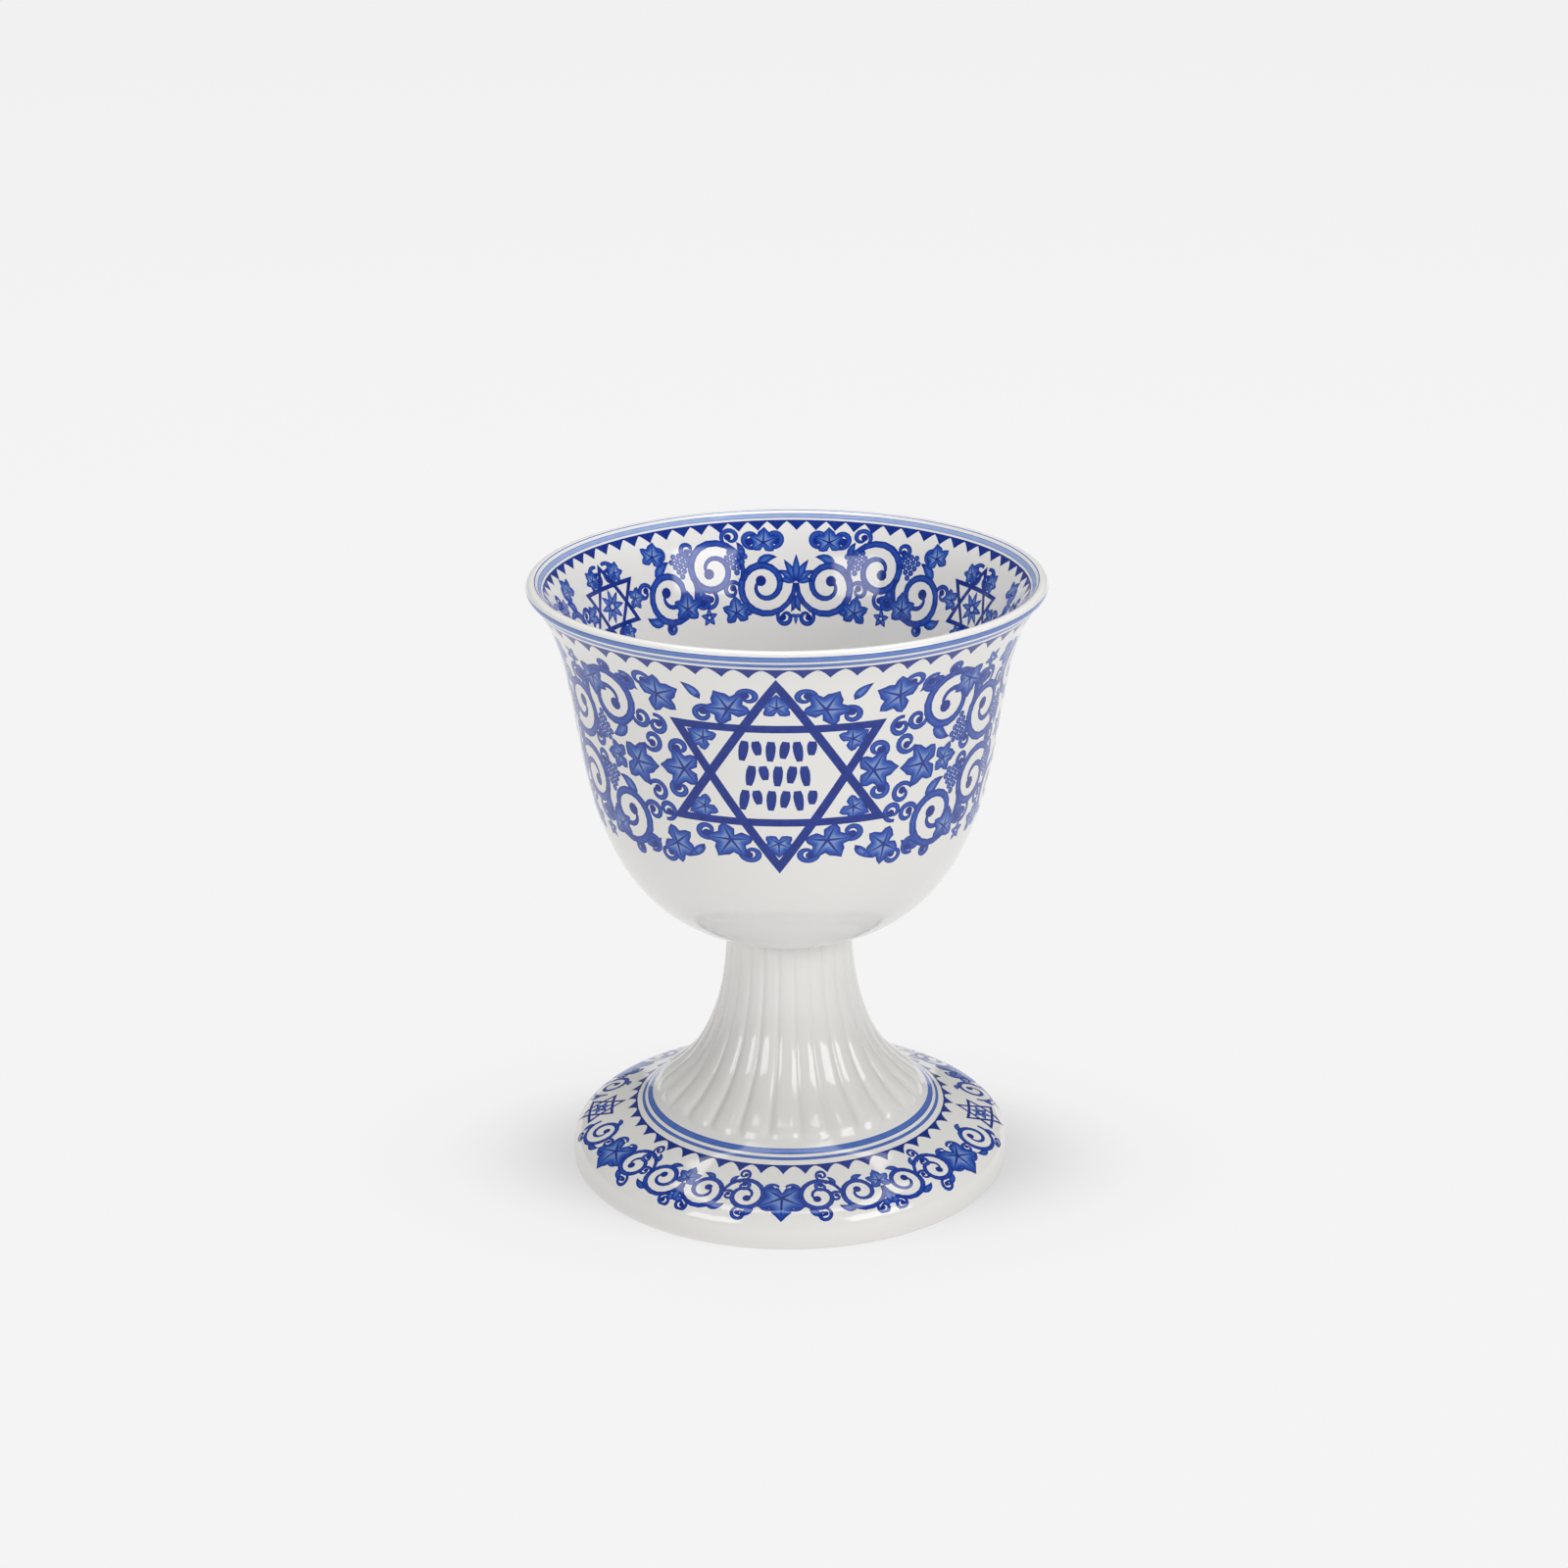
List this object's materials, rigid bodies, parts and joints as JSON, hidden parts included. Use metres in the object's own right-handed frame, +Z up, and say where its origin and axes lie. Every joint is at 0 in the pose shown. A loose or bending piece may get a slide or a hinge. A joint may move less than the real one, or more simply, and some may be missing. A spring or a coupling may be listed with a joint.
{
  "type": "kiddush cup",
  "caption": "Footed porcelain wine cup with a flared bowl, a reeded flaring stem and a domed hollow foot, printed in cobalt blue.",
  "frame": {"origin": "on the cup's axis, at the level of the foot ring that it stands on", "axes": "+Z up along the axis of the cup, -Y towards the front, where the star panel of the print faces"},
  "size_m": [0.092, 0.092, 0.1124],
  "materials": {
    "porcelain": "clear gloss glaze over white porcelain with a cobalt blue print"
  },
  "bodies": {
    "root": {"kiddush_cup": "porcelain"}
  },
  "joints": []
}
